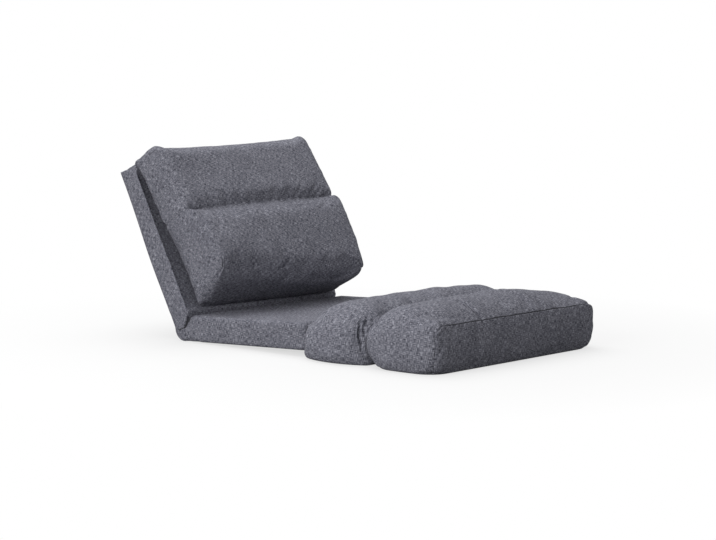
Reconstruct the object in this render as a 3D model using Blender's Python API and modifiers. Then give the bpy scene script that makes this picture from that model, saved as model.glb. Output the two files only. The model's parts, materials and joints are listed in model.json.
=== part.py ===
"""Legless folding floor lounger: a steel-framed seat and back on ratchet hinges, a two-chamber
back cushion, and a stuffed knee section and foot section sewn on in front of the seat.

Metres, +Z up, +X towards the feet. The origin lies on the floor under the middle of the whole.
"""

import math

import bmesh
import bpy
from mathutils import Vector

# Overall sizes
WIDTH = 0.600
SLAB = 0.072
SEAT_LENGTH = 0.442
BACK_LENGTH = 0.473
OPEN_ANGLE = 116.0
SEAT_TILT = 2.1
SEAT_DISH = 0.005

# Back cushion, measured along the back from the hinge axis and out from the slab
CUSHION_START = 0.040
CUSHION_LENGTH = 0.455
CUSHION_INSET = 0.004
LUMBAR_DEPTH = 0.158
CHANNEL_DEPTH = 0.098
HEAD_DEPTH = 0.142
TOP_DEPTH = 0.110
CHANNEL_AT = 0.243
CROWN_SHARE = 0.97
CUSHION_DRAW = 0.03
SHOULDER_SHARE = 0.78
END_SHARE = 0.88
CHAMBER_ROLL = 0.055
RIM = 0.016

# Knee section
KNEE_LENGTH = 0.228
KNEE_OVER = 0.006
KNEE_BULGE = 0.040
KNEE_CROWN = 0.168
KNEE_AXIS_Z = 0.092
KNEE_SIDE = 0.82
KNEE_FULL = 0.60
KNEE_TUCK = 0.60
KNEE_SHOULDER = 0.72

# Foot section
FOOT_LENGTH = 0.232
FOOT_OVER = 0.028
FOOT_BULGE = 0.014
FOOT_CROWN = 0.174
FOOT_FRONT = 0.124
FOOT_REAR = 0.110
FOOT_AXIS_Z = 0.135
FOOT_SIDE = 0.86
FOOT_FULL = 0.70
FOOT_TUCK = 0.80
FOOT_TUCK_SIDE = 0.80
FOOT_CORNER = 0.30
FOOT_SHOULDER = 0.88

# Fabric, foam and clearances
FABRIC = 0.0018
GAP = 0.0003
FILL_GAP = 0.0006
EDGE_ROUND = 0.020
TUCK_SHARE = 0.30
BULGE_LOW = 0.15
BULGE_HIGH = 0.85
HINGE_END = 0.006
HINGE_ROOM = 0.037
MITRE = 0.030

# Steel frame and webbing
TUBE_RADIUS = 0.0095
TUBE_BORE = 0.0081
FRAME_INSET = 0.036
TUBE_START = 0.066
BEND_RADIUS = 0.050
BEND_STEPS = 5
CROSS_BAR_AT = 0.105
CROSS_BAR_RADIUS = 0.007
STRAP_WIDTH = 0.040
STRAP_THICKNESS = 0.0015
STRAP_COUNT = 3
ARC_STEPS = 8

# Ratchet hinge
PLATE = 0.003
PLATE_GAP = 0.0006
ARM_RADIUS = 0.020
ARM_HALF = 0.0075
STUB_LENGTH = 0.036
PIN_RADIUS = 0.005
PIN_HEAD = 0.0085
PIN_HEAD_DEPTH = 0.0022
TOOTH_PITCH = 16.0
TOOTH_FIRST = -16.0
TOOTH_COUNT = 6
TOOTH_DEPTH = 0.0030
NOTCH_HALF = 5.0
PAWL_PIVOT = (0.0275, -0.0190)
PAWL_EYE = 0.0046
PAWL_PIN = 0.0022
PAWL_PIN_HEAD = 0.0040
PAWL_BACK = 0.0031
PAWL_LIFT = 13.0
PAWL_TIP = 0.004
NOSE_SHARE = 0.70
SHOULDER = 0.004
SPRING_LEAF = 0.0006
GUSSET_FROM = 199.0
GUSSET_STEPS = 10

# Places worked out from the sizes above, X counted from the back hinge
TILT = math.radians(SEAT_TILT)
HINGE_Z = SLAB / 2
TUBE_Y = WIDTH / 2 - FRAME_INSET
KNEE_X = SEAT_LENGTH * math.cos(TILT) + (SLAB / 2 - EDGE_ROUND) * math.sin(TILT)
CUSHION_WIDTH = WIDTH - 2 * CUSHION_INSET
KNEE_WIDTH = WIDTH + 2 * KNEE_OVER
FOOT_WIDTH = WIDTH + 2 * FOOT_OVER
HEAD_LENGTH = CUSHION_LENGTH - CHANNEL_AT
FOAM_SPLIT = TUBE_RADIUS + GAP + STRAP_THICKNESS + GAP
PLATE_OFFSET = (PLATE + PLATE_GAP) / 2
PAWL_REACH = -PAWL_PIVOT[1]

for old in list(bpy.data.objects):
    bpy.data.objects.remove(old)

parts = bpy.data.collections.new("folding_floor_lounger")
cutters = bpy.data.collections.new("cutters")
for group in (parts, cutters):
    bpy.context.scene.collection.children.link(group)


def material(name, colour, roughness, metallic=0.0):
    made = bpy.data.materials.new(name)
    made.use_nodes = True
    shader = made.node_tree.nodes["Principled BSDF"]
    shader.inputs["Base Color"].default_value = (*colour, 1.0)
    shader.inputs["Roughness"].default_value = roughness
    shader.inputs["Metallic"].default_value = metallic
    return made


LINEN = material("grey_linen", (0.135, 0.136, 0.158), 0.92)
LINING = material("black_lining", (0.018, 0.018, 0.020), 0.95)
FOAM = material("foam", (0.780, 0.700, 0.480), 0.95)
FIBRE = material("fibre_fill", (0.850, 0.850, 0.830), 0.98)
TUBE_STEEL = material("painted_tube", (0.060, 0.062, 0.065), 0.45, 0.6)
ZINC = material("zinc_plate", (0.560, 0.570, 0.580), 0.35, 1.0)
SPRING_STEEL = material("spring_steel", (0.300, 0.300, 0.320), 0.30, 1.0)
WEBBING = material("elastic_webbing", (0.620, 0.600, 0.540), 0.90)


def empty(name, location, rotation=(0.0, 0.0, 0.0), parent=None):
    made = bpy.data.objects.new(name, None)
    made.empty_display_size = 0.05
    made.location = location
    made.rotation_euler = rotation
    made.parent = parent
    parts.objects.link(made)
    return made


def add_object(name, data, look, parent, location=(0.0, 0.0, 0.0), rotation=(0.0, 0.0, 0.0)):
    made = bpy.data.objects.new(name, data)
    made.parent = parent
    made.location = location
    made.rotation_euler = rotation
    data.materials.append(look)
    parts.objects.link(made)
    return made


def make_cutter(made):
    for group in list(made.users_collection):
        group.objects.unlink(made)
    cutters.objects.link(made)
    made.hide_render = True
    made.display_type = "WIRE"
    return made


def boolean(target, operation, tool):
    cut = target.modifiers.new(operation.lower(), "BOOLEAN")
    cut.operation = operation
    cut.object = tool
    return target


def freeze(made):
    """Turn a curve, or an object with modifiers, into one welded mesh object in its place."""
    bpy.context.view_layer.update()
    evaluated = made.evaluated_get(bpy.context.evaluated_depsgraph_get())
    mesh = bpy.data.meshes.new_from_object(evaluated)
    work = bmesh.new()
    work.from_mesh(mesh)
    bmesh.ops.remove_doubles(work, verts=work.verts, dist=0.00001)
    bmesh.ops.recalc_face_normals(work, faces=work.faces)
    work.to_mesh(mesh)
    work.free()
    solid = bpy.data.objects.new(made.name, mesh)
    solid.parent = made.parent
    solid.location = made.location
    solid.rotation_euler = made.rotation_euler
    parts.objects.link(solid)
    name = made.name
    bpy.data.objects.remove(made)
    solid.name = name
    bpy.context.view_layer.update()
    return solid


def smooth(made, angle=40.0):
    made.data.shade_smooth()
    made.data.set_sharp_from_angle(angle=math.radians(angle))
    return made


def clamp(value):
    return min(1.0, max(0.0, value))


def ease(value):
    t = clamp(value)
    return t * t * (3.0 - 2.0 * t)


def arc(centre, radius, start, end, steps):
    """Points on a circle, angles in degrees from +X towards +Y."""
    turn = [math.radians(start + (end - start) * k / steps) for k in range(steps + 1)]
    return [(centre[0] + radius * math.cos(a), centre[1] + radius * math.sin(a)) for a in turn]


def flat_outline(name, outlines, thickness, look, parent, location, rotation):
    """A plate from closed outlines in its own XY plane; inner outlines are holes."""
    curve = bpy.data.curves.new(name, "CURVE")
    curve.dimensions = "2D"
    curve.fill_mode = "BOTH"
    curve.extrude = thickness / 2
    for points in outlines:
        spline = curve.splines.new("POLY")
        spline.points.add(len(points) - 1)
        for point, (x, y) in zip(spline.points, points):
            point.co = (x, y, 0.0, 1.0)
        spline.use_cyclic_u = True
    made = add_object(name, curve, look, parent, location, rotation)
    return freeze(made)


UPRIGHT = (math.pi / 2, 0.0, 0.0)
ACROSS = (math.pi / 2, 0.0, math.pi / 2)


def rod(name, points, radius, look, parent, sides=4):
    curve = bpy.data.curves.new(name, "CURVE")
    curve.dimensions = "3D"
    curve.bevel_depth = radius
    curve.bevel_resolution = sides
    curve.use_fill_caps = True
    spline = curve.splines.new("POLY")
    spline.points.add(len(points) - 1)
    for point, place in zip(spline.points, points):
        point.co = (*place, 1.0)
    made = add_object(name, curve, look, parent)
    return freeze(made)


def turned(name, profile, look, parent, location, steps=16):
    """A turned pin: the profile runs down its outer side and is spun about Z, then laid along Y."""
    mesh = bpy.data.meshes.new(name)
    verts = [(x, 0.0, z) for x, z in profile]
    edges = [(k, k + 1) for k in range(len(profile) - 1)]
    mesh.from_pydata(verts, edges, [])
    made = add_object(name, mesh, look, parent, location, UPRIGHT)
    spin = made.modifiers.new("spin", "SCREW")
    spin.steps = steps
    spin.render_steps = steps
    spin.use_merge_vertices = True
    spin.merge_threshold = 0.00001
    return smooth(freeze(made))


def block_mesh(name, xs, ys, zs, shape, keep):
    """A box cut at the given places, bent by shape(x, y, z), with only the wanted faces kept."""
    low = Vector((xs[0], ys[0], zs[0]))
    high = Vector((xs[-1], ys[-1], zs[-1]))
    work = bmesh.new()
    bmesh.ops.create_cube(work, size=1.0)
    for vert in work.verts:
        share = vert.co + Vector((0.5, 0.5, 0.5))
        vert.co = low + Vector(a * b for a, b in zip(share, high - low))
    for axis, places in enumerate((xs, ys, zs)):
        normal = Vector((0.0, 0.0, 0.0))
        normal[axis] = 1.0
        for place in places[1:-1]:
            geometry = work.verts[:] + work.edges[:] + work.faces[:]
            point = normal * place
            bmesh.ops.bisect_plane(work, geom=geometry, plane_co=point, plane_no=normal, dist=1e-6)
    drop = [face for face in work.faces if not keep(face.calc_center_median(), face.normal)]
    bmesh.ops.delete(work, geom=drop, context="FACES")
    for vert in work.verts:
        vert.co = Vector(shape(*vert.co))
    mesh = bpy.data.meshes.new(name)
    work.to_mesh(mesh)
    work.free()
    return mesh


def soften(made):
    subdivide = made.modifiers.new("soften", "SUBSURF")
    subdivide.levels = 1
    subdivide.render_levels = 1
    made.data.shade_smooth()
    return made


def cover(name, block, shape, parent, location=(0.0, 0.0, 0.0), open_end=False):
    """A fabric shell over a block, open underneath and, if asked, at the hinge end."""
    def keep(centre, normal):
        return normal.z > -0.5 and not (open_end and normal.x < -0.5)
    made = add_object(name, block_mesh(name, *block, shape, keep), LINEN, parent, location)
    soften(made)
    shell = made.modifiers.new("fabric", "SOLIDIFY")
    shell.thickness = FABRIC
    shell.offset = -1.0
    shell.use_even_offset = True
    return made


def base_panel(name, block, shape, look, parent, location=(0.0, 0.0, 0.0)):
    """The flat panel that closes a cover, just under its rim."""
    mesh = block_mesh(name, *block, shape, lambda centre, normal: normal.z < -0.5)
    made = add_object(name, mesh, look, parent, location)
    soften(made)
    sheet = made.modifiers.new("fabric", "SOLIDIFY")
    sheet.thickness = FABRIC
    sheet.offset = -1.0
    made.location.z -= FABRIC + GAP
    return made


def filling(name, block, shape, look, parent, location=(0.0, 0.0, 0.0)):
    """The foam or fibre inside a cover, kept clear of the fabric all round."""
    mesh = block_mesh(name, *block, shape, lambda centre, normal: True)
    made = add_object(name, mesh, look, parent, location)
    soften(made)
    inset = made.modifiers.new("inset", "DISPLACE")
    inset.strength = -(FABRIC + FILL_GAP)
    inset.mid_level = 0.0
    return made


def mirrored(places):
    """Places across the width, from one side to the other."""
    return [-p for p in reversed(places)] + [0.0] + list(places)


# The seat and the back share one frame each: X runs out from the hinge, Z towards the sitter
lounger = empty("lounger", (0.0, 0.0, 0.0))
seat = empty("seat_axis", (0.0, 0.0, HINGE_Z), (0.0, -TILT, 0.0), lounger)
back = empty("back_axis", (0.0, 0.0, 0.0), (0.0, math.radians(OPEN_ANGLE - 180.0), math.pi), seat)
knee = empty("knee_axis", (KNEE_X, 0.0, KNEE_AXIS_Z), (0.0, 0.0, 0.0), lounger)
foot = empty("foot_axis", (KNEE_LENGTH, 0.0, FOOT_AXIS_Z - KNEE_AXIS_Z), (0.0, 0.0, 0.0), knee)


def slab_shape(length, dish):
    """Bend a slab: mitred at the hinge end and dished a little on the side that is sat on."""
    def shape(x, y, z):
        across = 1.0 - (2 * y / WIDTH) ** 2
        top = clamp(1.0 - (SLAB / 2 - z) / EDGE_ROUND)
        mitre = MITRE * clamp(z / (SLAB / 2)) * clamp(1.0 - (x - HINGE_END) / (2 * MITRE))
        sink = dish * across * math.sin(math.pi * clamp(x / length)) * top
        return x + mitre, y, z - sink
    return shape


def slab_block(length, zs, near=HINGE_END):
    """Where a slab's cage is cut, with a narrow strip along each edge to keep it crisp."""
    far = length - GAP / 2
    xs = [near, near + EDGE_ROUND, length * 0.5, far - EDGE_ROUND, far]
    ys = mirrored([WIDTH / 4, WIDTH / 2 - EDGE_ROUND, WIDTH / 2])
    return xs, ys, zs


def frame_path(length, start):
    """The bent tube: up one side, across the far end and down the other side."""
    far = length - FRAME_INSET
    turn = (far - BEND_RADIUS, TUBE_Y - BEND_RADIUS)
    corner = arc(turn, BEND_RADIUS, 90.0, 0.0, BEND_STEPS)
    half = [(start, TUBE_Y)] + corner
    other = [(x, -y) for x, y in reversed(half)]
    return [(x, y, 0.0) for x, y in half + other]


def frame_tube(name, length, parent):
    made = rod(name, frame_path(length, TUBE_START), TUBE_RADIUS, TUBE_STEEL, parent)
    inside = frame_path(length, TUBE_START - BEND_RADIUS)
    bore = make_cutter(rod(name + "_bore", inside, TUBE_BORE, ZINC, parent))
    boolean(made, "DIFFERENCE", bore)
    return smooth(made)


def cross_bar(name, parent):
    reach = TUBE_Y - TUBE_RADIUS - GAP
    points = [(CROSS_BAR_AT, -reach, 0.0), (CROSS_BAR_AT, reach, 0.0)]
    return smooth(rod(name, points, CROSS_BAR_RADIUS, TUBE_STEEL, parent))


def racetrack(radius):
    right = arc((TUBE_Y, 0.0), radius, -90.0, 90.0, ARC_STEPS)
    left = arc((-TUBE_Y, 0.0), radius, 90.0, 270.0, ARC_STEPS)
    return right + left


def straps(prefix, length, parent):
    """Elastic webbing belts that run right round both side tubes and carry the foam."""
    inner = TUBE_RADIUS + GAP
    first = CROSS_BAR_AT + CROSS_BAR_RADIUS + STRAP_WIDTH
    last = length - FRAME_INSET - BEND_RADIUS - STRAP_WIDTH / 2
    for k in range(STRAP_COUNT):
        place = first + (last - first) * k / (STRAP_COUNT - 1)
        loops = [racetrack(inner + STRAP_THICKNESS), racetrack(inner)]
        smooth(flat_outline(f"{prefix}_strap_{k + 1}", loops, STRAP_WIDTH, WEBBING, parent,
                            (place, 0.0, 0.0), ACROSS))


def hinge_pockets(prefix, parent):
    """Cutters for the room that the foam leaves round the two hinges and their tube ends."""
    made = []
    for side in (-1, 1):
        mesh = bpy.data.meshes.new("pocket")
        work = bmesh.new()
        bmesh.ops.create_cube(work, size=1.0)
        work.to_mesh(mesh)
        work.free()
        box = add_object(f"{prefix}_pocket_{side}", mesh, FOAM, parent)
        box.scale = (2 * TUBE_START + STUB_LENGTH, 4 * TUBE_RADIUS, 2 * ARM_RADIUS + 4 * PIN_HEAD)
        box.location = (0.0, side * TUBE_Y, 0.0)
        made.append(make_cutter(box))
    return made


def build_slab(prefix, panel_name, layers, length, dish, parent):
    shape = slab_shape(length, dish)
    low = -SLAB / 2 + FABRIC + GAP
    top = SLAB / 2
    block = slab_block(length, [low, low + EDGE_ROUND, top - EDGE_ROUND, top])
    cover(f"{prefix}_cover", block, shape, parent, open_end=True)
    base_panel(panel_name, block, shape, LINING if prefix == "seat" else LINEN, parent)
    pockets = hinge_pockets(prefix, parent)
    inset = FABRIC + FILL_GAP
    upper = slab_block(length, [FOAM_SPLIT - inset, top - EDGE_ROUND, top])
    lower = slab_block(length, [low - FABRIC, low + EDGE_ROUND, -FOAM_SPLIT + inset], HINGE_ROOM)
    for name, layer in zip(layers, (upper, lower)):
        foam = filling(name, layer, shape, FOAM, parent)
        for pocket in pockets:
            boolean(foam, "DIFFERENCE", pocket)
    frame_tube(f"{prefix}_frame", length, parent)
    cross_bar(f"{prefix}_cross_bar", parent)
    straps(prefix, length, parent)


build_slab("seat", "seat_underside", ("seat_foam_top", "seat_foam_base"), SEAT_LENGTH, SEAT_DISH, seat)
build_slab("back", "back_rear_panel", ("back_foam_front", "back_foam_rear"), BACK_LENGTH, 0.0, back)


def cushion_depth(x):
    """How far the back cushion stands out from the slab: two chambers rolled down to a sewn channel."""
    roll = 1.0 - math.sqrt(1.0 - (1.0 - clamp(abs(x - CHANNEL_AT) / CHAMBER_ROLL)) ** 2)
    if x < CHANNEL_AT:
        full = LUMBAR_DEPTH
    else:
        full = HEAD_DEPTH + (TOP_DEPTH - HEAD_DEPTH) * clamp((x - CHANNEL_AT) / HEAD_LENGTH)
    end = END_SHARE + (1.0 - END_SHARE) * clamp(min(x, CUSHION_LENGTH - x) / EDGE_ROUND)
    return (full + (CHANNEL_DEPTH - full) * roll) * end


def cushion_shape(x, y, z):
    """Stand the chambers up from the slab, crowned across, with sides drawn in between their ends."""
    up = z / LUMBAR_DEPTH
    free = clamp((z - RIM) / (LUMBAR_DEPTH - RIM))
    across = 1.0 - (2 * y / CUSHION_WIDTH) ** 2
    crown = CROWN_SHARE + (1.0 - CROWN_SHARE) * across
    draw = 1.0 - CUSHION_DRAW * math.sin(math.pi * free) * abs(2 * x / CUSHION_LENGTH - 1.0)
    return x, y * draw, cushion_depth(x) * crown * up


CUSHION_PLACE = (CUSHION_START, 0.0, SLAB / 2 + FABRIC + 2 * GAP)
cushion_ys = mirrored([CUSHION_WIDTH / 4, CUSHION_WIDTH / 2 - EDGE_ROUND, CUSHION_WIDTH / 2])
cushion_zs = [0.0, RIM, LUMBAR_DEPTH * SHOULDER_SHARE, LUMBAR_DEPTH]
lower_xs = [0.0, EDGE_ROUND, CHANNEL_AT * 0.45, CHANNEL_AT - CHAMBER_ROLL * 0.7, CHANNEL_AT - EDGE_ROUND / 2]
head_xs = [CHANNEL_AT + CHAMBER_ROLL * 0.7, CUSHION_LENGTH - 1.5 * EDGE_ROUND, CUSHION_LENGTH]
upper_xs = [CHANNEL_AT + EDGE_ROUND / 2] + head_xs
cushion_block = (lower_xs + [CHANNEL_AT] + upper_xs, cushion_ys, cushion_zs)
cover("back_cushion_cover", cushion_block, cushion_shape, back, CUSHION_PLACE)
base_panel("back_cushion_panel", cushion_block, cushion_shape, LINING, back, CUSHION_PLACE)
for chamber, chamber_xs in (("lumbar_filling", lower_xs), ("head_filling", upper_xs)):
    chamber_block = (chamber_xs, cushion_ys, cushion_zs)
    filling(chamber, chamber_block, cushion_shape, FIBRE, back, CUSHION_PLACE)


def side_bulge(up):
    """How much of a stuffed side's bulge is out at this share of its height."""
    return math.sin(math.pi * (BULGE_LOW + (BULGE_HIGH - BULGE_LOW) * up))


def knee_shape(x, y, z):
    """A stuffed bolster: crowned along and across, bulging at the sides, tucked in at the floor."""
    along = clamp(x / KNEE_LENGTH)
    up = clamp(z / SLAB)
    wide = 2 * y / KNEE_WIDTH
    swell = math.sin(math.pi * along) ** KNEE_FULL
    ends = KNEE_AXIS_Z + (FOOT_REAR - KNEE_AXIS_Z) * along
    crown = KNEE_SIDE + (1.0 - KNEE_SIDE) * (1.0 - wide ** 2)
    top = ends + (KNEE_CROWN - ends) * swell * crown
    bulge = KNEE_BULGE * swell * side_bulge(up)
    tuck = EDGE_ROUND * (1.0 - ease(up / TUCK_SHARE))
    new_x = x + (0.5 - along) * tuck * KNEE_TUCK
    return new_x, y + wide * (bulge - tuck), FABRIC + GAP + (top - FABRIC) * up


knee_middle = [EDGE_ROUND, KNEE_LENGTH * 0.35, KNEE_LENGTH * 0.65, KNEE_LENGTH - EDGE_ROUND]
knee_xs = [GAP / 2] + knee_middle + [KNEE_LENGTH - GAP / 2]
knee_ys = mirrored([KNEE_WIDTH / 4, KNEE_WIDTH / 2 - 1.5 * EDGE_ROUND, KNEE_WIDTH / 2])
knee_zs = [0.0, SLAB * TUCK_SHARE, SLAB * KNEE_SHOULDER, SLAB]
knee_block = (knee_xs, knee_ys, knee_zs)
knee_place = (0.0, 0.0, -KNEE_AXIS_Z)
cover("knee_cover", knee_block, knee_shape, knee, knee_place)
base_panel("knee_base", knee_block, knee_shape, LINING, knee, knee_place)
filling("knee_filling", knee_block, knee_shape, FIBRE, knee, knee_place)


def foot_shape(x, y, z):
    """A box cushion with a crowned top, its lower edges and front corners drawn in."""
    along = clamp(x / FOOT_LENGTH)
    up = clamp(z / SLAB)
    wide = 2 * y / FOOT_WIDTH
    swell = math.sin(math.pi * along) ** FOOT_FULL
    ends = FOOT_REAR + (FOOT_FRONT - FOOT_REAR) * along
    crown = FOOT_SIDE + (1.0 - FOOT_SIDE) * (1.0 - wide ** 2)
    top = ends + (FOOT_CROWN - ends) * swell * crown
    bulge = FOOT_BULGE * swell * side_bulge(up)
    tuck = EDGE_ROUND * (1.0 - ease(up / TUCK_SHARE))
    corner = FOOT_CORNER * EDGE_ROUND * along ** 4 * wide ** 4
    new_x = x + (0.5 - along) * tuck * FOOT_TUCK - corner
    return new_x, y + wide * (bulge - tuck * FOOT_TUCK_SIDE), FABRIC + GAP + (top - FABRIC) * up


foot_middle = [EDGE_ROUND, FOOT_LENGTH * 0.35, FOOT_LENGTH * 0.65, FOOT_LENGTH - EDGE_ROUND / 2]
foot_xs = [GAP / 2] + foot_middle + [FOOT_LENGTH]
foot_ys = mirrored([FOOT_WIDTH / 4, FOOT_WIDTH / 2 - EDGE_ROUND, FOOT_WIDTH / 2])
foot_zs = [0.0, SLAB * TUCK_SHARE, SLAB * FOOT_SHOULDER, SLAB]
foot_block = (foot_xs, foot_ys, foot_zs)
foot_place = (0.0, 0.0, -FOOT_AXIS_Z)
cover("foot_cover", foot_block, foot_shape, foot, foot_place)
base_panel("foot_base", foot_block, foot_shape, LINING, foot, foot_place)
filling("foot_filling", foot_block, foot_shape, FIBRE, foot, foot_place)


def tongue(radius_points, half):
    """Close a round plate with a straight tongue that reaches the tube along +X."""
    return [(TUBE_START - 2 * GAP, -half), (TUBE_START - 2 * GAP, half)] + radius_points


def hinge_arm(name, outline, parent, y):
    """A stamped hinge plate with a pin hole and a round stub that plugs into the frame tube."""
    hole = arc((0.0, 0.0), PIN_RADIUS + GAP, 0.0, 360.0, 16)[:-1]
    plate = flat_outline(name, [outline, hole], PLATE, ZINC, parent, (0.0, y, 0.0), UPRIGHT)
    tube_side = math.copysign(TUBE_Y, y)
    start = TUBE_START - ARM_HALF
    path = [(start, tube_side, 0.0), (TUBE_START + STUB_LENGTH, tube_side, 0.0)]
    stub = make_cutter(rod(name + "_stub", path, TUBE_BORE - GAP, ZINC, parent))
    boolean(plate, "UNION", stub)
    return plate


def seat_arm_outline():
    """Round the pin, with a lobe below that carries the pawl and its spring."""
    lobe = arc(PAWL_PIVOT, PAWL_EYE, 250.0, 330.0, 4)
    rim = arc((0.0, 0.0), ARM_RADIUS, 60.0, 300.0, 16)
    return tongue([(ARM_RADIUS - SHOULDER, ARM_HALF + SHOULDER)] + rim + lobe, ARM_HALF)


def back_arm_outline():
    """A toothed rim: notches one pitch apart, each for one position of the back."""
    first = OPEN_ANGLE + TOOTH_FIRST
    last = first + (TOOTH_COUNT - 1) * TOOTH_PITCH
    root = ARM_RADIUS - TOOTH_DEPTH
    notch = ((-NOTCH_HALF, ARM_RADIUS), (0.0, root), (NOTCH_HALF, ARM_RADIUS))
    rim = arc((0.0, 0.0), ARM_RADIUS, 30.0, first - TOOTH_PITCH, 5)
    for k in range(TOOTH_COUNT):
        for turn, radius in notch:
            angle = math.radians(first + k * TOOTH_PITCH + turn)
            rim.append((radius * math.cos(angle), radius * math.sin(angle)))
    rim += arc((0.0, 0.0), ARM_RADIUS, last + TOOTH_PITCH, 330.0, 9)
    return tongue(rim, ARM_HALF)


def pawl_outline():
    """A lever from its eye up to a wedge nose that drops into a notch; drawn in the notch."""
    nose = ARM_RADIUS - TOOTH_DEPTH + 2 * GAP - PAWL_PIVOT[0]
    face = ARM_RADIUS + 3 * GAP - PAWL_PIVOT[0]
    wedge = (ARM_RADIUS - TOOTH_DEPTH) * math.tan(math.radians(NOTCH_HALF)) * NOSE_SHARE
    eye = arc((0.0, 0.0), PAWL_EYE, 170.0, 370.0, 8)
    tip = PAWL_REACH + PAWL_TIP
    head = [(PAWL_BACK, PAWL_REACH), (0.0, tip), (face, tip)]
    tooth = [(face, PAWL_REACH + wedge), (nose, PAWL_REACH), (face, PAWL_REACH - wedge)]
    return eye + head + tooth


def build_hinge(side, label):
    inner = side * (TUBE_Y - PLATE_OFFSET)
    outer = side * (TUBE_Y + PLATE_OFFSET)
    hinge_arm(f"seat_hinge_arm_{label}", seat_arm_outline(), seat, inner)
    hinge_arm(f"back_hinge_arm_{label}", back_arm_outline(), back, -outer)
    half = PLATE + PLATE_GAP / 2 + GAP
    grip = half + PIN_HEAD_DEPTH
    pin = [(0.0, grip), (PIN_HEAD * 0.7, grip), (PIN_HEAD, half), (PIN_RADIUS, half),
           (PIN_RADIUS, -half), (PIN_HEAD, -half), (PIN_HEAD * 0.7, -grip), (0.0, -grip)]
    turned(f"hinge_pin_{label}", pin, ZINC, seat, (0.0, side * TUBE_Y, 0.0))
    build_pawl(side, label, outer)
    build_spring(label, outer)


def build_pawl(side, label, outer):
    """The pawl, shown lifted clear of the teeth, and the pin that it turns on."""
    pivot = (PAWL_PIVOT[0], outer, PAWL_PIVOT[1])
    axis = empty(f"pawl_axis_{label}", pivot, (0.0, math.radians(PAWL_LIFT), 0.0), seat)
    hole = arc((0.0, 0.0), PAWL_PIN + GAP, 0.0, 360.0, 12)[:-1]
    flat_outline(f"pawl_{label}", [pawl_outline(), hole], PLATE, SPRING_STEEL, axis,
                 (0.0, 0.0, 0.0), UPRIGHT)
    reach = PLATE / 2 + GAP
    head = reach + PIN_HEAD_DEPTH / 2
    foot_end = -(PLATE / 2 + PLATE_GAP - GAP)
    pin = [(0.0, head), (PAWL_PIN_HEAD, head), (PAWL_PIN_HEAD, reach), (PAWL_PIN, reach),
           (PAWL_PIN, foot_end), (0.0, foot_end)]
    made = turned(f"pawl_pin_{label}", pin, ZINC, seat, pivot, 12)
    made.rotation_euler = (-side * math.pi / 2, 0.0, 0.0)


def build_spring(label, y):
    """A leaf on the seat plate, bent down behind the lifted pawl."""
    lift = math.radians(PAWL_LIFT)
    touch_x = PAWL_PIVOT[0] + PAWL_BACK * math.cos(lift) + PAWL_REACH * math.sin(lift)
    front = touch_x + 2 * GAP
    top = ARM_HALF - 2 * SPRING_LEAF
    line = [(TUBE_START - 2 * ARM_HALF, top), (front + ARM_HALF / 2, top), (front, top - ARM_HALF / 2),
            (front, PAWL_PIVOT[1] + PAWL_REACH * 0.8)]
    outer = [(x + SPRING_LEAF, z - SPRING_LEAF) for x, z in reversed(line)]
    outer[-1] = (line[0][0], outer[-1][1])
    outer[0] = (outer[0][0], line[-1][1])
    flat_outline(f"pawl_spring_{label}", [line + outer], PLATE - 2 * GAP, SPRING_STEEL, seat,
                 (0.0, y, 0.0), UPRIGHT)


def build_gusset():
    """The cloth round the back of the hinges: an arc about the hinge axis that the back slides over."""
    outside = SLAB / 2 - FABRIC - GAP
    ring = arc((0.0, 0.0), outside, GUSSET_FROM, 270.0, GUSSET_STEPS)
    lap = HINGE_END + 4 * GAP
    inside = arc((0.0, 0.0), outside - FABRIC, 270.0, GUSSET_FROM, GUSSET_STEPS)
    outline = ring + [(lap, -outside), (lap, FABRIC - outside)] + inside
    smooth(flat_outline("hinge_gusset", [outline], WIDTH - 2 * FABRIC - 4 * GAP, LINEN, seat,
                        (0.0, 0.0, 0.0), UPRIGHT))


def centre_on_floor():
    """Move the whole so that its box stands on the floor with its middle at the origin."""
    bpy.context.view_layer.update()
    graph = bpy.context.evaluated_depsgraph_get()
    corners = []
    for made in parts.objects:
        if made.type == "MESH":
            solid = made.evaluated_get(graph)
            corners += [solid.matrix_world @ vert.co for vert in solid.data.vertices]
    across = [corner.x for corner in corners]
    lounger.location.x = -(min(across) + max(across)) / 2
    lounger.location.z = -min(corner.z for corner in corners)
    bpy.context.view_layer.update()


for hand, word in ((1, "left"), (-1, "right")):
    build_hinge(hand, word)
build_gusset()
centre_on_floor()
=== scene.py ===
"""Dressed scene of the folding floor lounger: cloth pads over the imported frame, floor, light and camera."""

import json
import math

import bpy
import numpy as np
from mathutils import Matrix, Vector
from mathutils.bvhtree import BVHTree


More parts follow.
